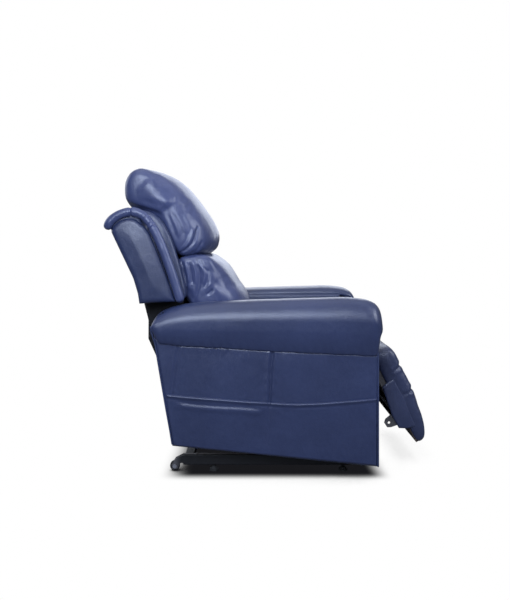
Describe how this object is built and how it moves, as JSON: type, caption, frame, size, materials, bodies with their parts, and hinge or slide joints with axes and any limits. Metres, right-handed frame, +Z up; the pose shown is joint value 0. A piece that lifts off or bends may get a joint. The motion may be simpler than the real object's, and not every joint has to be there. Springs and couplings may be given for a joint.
{
  "type": "lift recliner chair",
  "caption": "Upholstered lift recliner chair: powered lifting base, reclining winged back with pillows, swinging legrest, padded arms and a handset.",
  "frame": {"origin": "centre of the resting outline, on the floor", "axes": "+Z up, the chair faces -Y, its left-hand side is +X"},
  "size_m": [0.85, 1.1504, 1.1103],
  "materials": {
    "navy_leather": "semi-gloss, fine grain",
    "black_lining": "matt woven dust cover",
    "black_steel": "satin black paint",
    "zinc_steel": "zinc plated",
    "timber": "raw plywood",
    "black_plastic": "fine textured",
    "black_rubber": "matt",
    "grey_buttons": "semi-gloss"
  },
  "bodies": {
    "base": {"base_frame": "black_steel", "glide_feet": "black_rubber", "base_pins": "zinc_steel"},
    "wheel_l": {"rear_wheel_left": "black_rubber"},
    "wheel_r": {"rear_wheel_right": "black_rubber"},
    "lift_arms": {"lift_arm": "black_steel"},
    "front_link_pair": {"front_links": "black_steel"},
    "lift_actuator": {"lift_motor": "black_plastic", "lift_tube": "black_steel"},
    "lift_ram": {"lift_rod": "zinc_steel"},
    "chair": {"chassis_frame": "black_steel", "chassis_pins": "zinc_steel", "frame_bolts": "zinc_steel", "seat_frame": "timber", "seat_springs": "zinc_steel", "seat_deck": "black_lining", "seat_cushion": "navy_leather", "arm_frames": "timber", "arm_roll_left": "navy_leather", "arm_roll_right": "navy_leather", "outer_panel_left": "navy_leather", "outer_panel_right": "navy_leather", "inner_panels": "navy_leather", "arm_front_panel_left": "navy_leather", "arm_front_panel_right": "navy_leather", "side_pocket": "navy_leather", "arm_rear_panels": "navy_leather", "power_box": "black_plastic", "power_cable": "black_rubber", "handset_holster": "black_plastic", "handset_cord": "black_rubber"},
    "backrest": {"back_frame": "timber", "back_brackets": "black_steel", "back_springs": "zinc_steel", "back_core": "black_lining", "back_outer_panel": "navy_leather", "back_lining": "black_lining", "wing_left": "navy_leather", "wing_right": "navy_leather", "headrest_pillow": "navy_leather", "lumbar_pillow": "navy_leather"},
    "recline_actuator": {"recline_motor": "black_plastic", "recline_tube": "black_steel"},
    "recline_ram": {"recline_rod": "zinc_steel"},
    "legrest": {"legrest_frame": "black_steel", "legrest_pins": "zinc_steel", "legrest_board": "timber", "legrest_pad": "navy_leather", "legrest_skirt": "navy_leather"},
    "legrest_cranks": {"legrest_crank": "black_steel"},
    "legrest_couplers": {"legrest_links": "black_steel"},
    "legrest_actuator": {"legrest_motor": "black_plastic", "legrest_tube": "black_steel"},
    "legrest_ram": {"legrest_rod": "zinc_steel"},
    "hand_control": {"handset": "black_plastic"},
    "key_raise": {"button_raise": "grey_buttons"},
    "key_recline": {"button_recline": "grey_buttons"},
    "key_legs_up": {"button_legs_up": "grey_buttons"},
    "key_legs_down": {"button_legs_down": "grey_buttons"}
  },
  "joints": [
    {"name": "lift", "type": "hinge", "parent": "base", "child": "lift_arms", "pos_m": [0, -0.19357, 0.1093], "axis": [1, 0, 0], "range_deg": [0, 60]},
    {"name": "chair_tilt", "type": "hinge", "parent": "lift_arms", "child": "chair", "pos_m": [0, 0.16943, 0.1499], "axis": [1, 0, 0], "range_deg": [-38.41, 0]},
    {"name": "front_link_turn", "type": "hinge", "parent": "base", "child": "front_link_pair", "pos_m": [0, -0.23897, 0.0796], "axis": [1, 0, 0], "range_deg": [0, 65.33]},
    {"name": "lift_actuator_swing", "type": "hinge", "parent": "base", "child": "lift_actuator", "pos_m": [0, 0.26693, 0.085], "axis": [1, 0, 0], "range_deg": [0, 7.33]},
    {"name": "lift_stroke", "type": "slide", "parent": "lift_actuator", "child": "lift_ram", "axis": [0, -0.9742, 0.2257], "range_m": [0, 0.05444]},
    {"name": "backrest_recline", "type": "hinge", "parent": "chair", "child": "backrest", "pos_m": [0, 0.36893, 0.349], "axis": [-1, 0, 0], "range_deg": [0, 37]},
    {"name": "recline_actuator_swing", "type": "hinge", "parent": "chair", "child": "recline_actuator", "pos_m": [0, 0.03193, 0.318], "axis": [-1, 0, 0], "range_deg": [0, 2.7]},
    {"name": "recline_stroke", "type": "slide", "parent": "recline_actuator", "child": "recline_ram", "axis": [0, 0.9972, -0.0749], "range_m": [-0.0413, 0]},
    {"name": "legrest_swing", "type": "hinge", "parent": "chair", "child": "legrest", "pos_m": [0, -0.34477, 0.4718], "axis": [-1, 0, 0], "range_deg": [-25, 64.4]},
    {"name": "legrest_crank_turn", "type": "hinge", "parent": "chair", "child": "legrest_cranks", "pos_m": [0, -0.05807, 0.3], "axis": [-1, 0, 0], "range_deg": [-25.1, 64.5]},
    {"name": "legrest_link_turn", "type": "hinge", "parent": "legrest_cranks", "child": "legrest_couplers", "pos_m": [0, -0.05807, 0.2], "axis": [-1, 0, 0], "range_deg": [-64.5, 25.1]},
    {"name": "legrest_actuator_swing", "type": "hinge", "parent": "chair", "child": "legrest_actuator", "pos_m": [0, 0.17193, 0.292], "axis": [-1, 0, 0], "range_deg": [-3.45, 8.8]},
    {"name": "legrest_stroke", "type": "slide", "parent": "legrest_actuator", "child": "legrest_ram", "axis": [0, -0.9908, -0.1357], "range_m": [-0.01296, 0.0335]},
    {"name": "wheel_spin_left", "type": "hinge", "parent": "base", "child": "wheel_l", "pos_m": [0.3135, 0.35393, 0.018], "axis": [1, 0, 0], "continuous": true},
    {"name": "wheel_spin_right", "type": "hinge", "parent": "base", "child": "wheel_r", "pos_m": [-0.3135, 0.35393, 0.018], "axis": [1, 0, 0], "continuous": true},
    {"name": "handset_lift_out", "type": "slide", "parent": "chair", "child": "hand_control", "axis": [0, 0, 1], "range_m": [0, 0.07], "deforming": ["handset_cord"]},
    {"name": "press_raise", "type": "slide", "parent": "hand_control", "child": "key_raise", "axis": [-1, 0, 0], "range_m": [0, 0.0012]},
    {"name": "press_recline", "type": "slide", "parent": "hand_control", "child": "key_recline", "axis": [-1, 0, 0], "range_m": [0, 0.0012]},
    {"name": "press_legs_up", "type": "slide", "parent": "hand_control", "child": "key_legs_up", "axis": [-1, 0, 0], "range_m": [0, 0.0012]},
    {"name": "press_legs_down", "type": "slide", "parent": "hand_control", "child": "key_legs_down", "axis": [-1, 0, 0], "range_m": [0, 0.0012]}
  ],
  "couplings": [
    {"joint": "chair_tilt", "follows": "lift", "ratio": -0.64},
    {"joint": "front_link_turn", "follows": "lift", "ratio": 1.0887},
    {"joint": "lift_actuator_swing", "follows": "lift", "ratio": 0.12209},
    {"joint": "lift_stroke", "follows": "lift", "m_per_rad": 0.051979},
    {"joint": "recline_actuator_swing", "follows": "backrest_recline", "ratio": 0.07253},
    {"joint": "recline_stroke", "follows": "backrest_recline", "m_per_rad": -0.063935},
    {"joint": "legrest_crank_turn", "follows": "legrest_swing", "ratio": 1},
    {"joint": "legrest_link_turn", "follows": "legrest_swing", "ratio": -1},
    {"joint": "legrest_actuator_swing", "follows": "legrest_swing", "ratio": 0.13613},
    {"joint": "legrest_stroke", "follows": "legrest_swing", "m_per_rad": 0.029662}
  ]
}
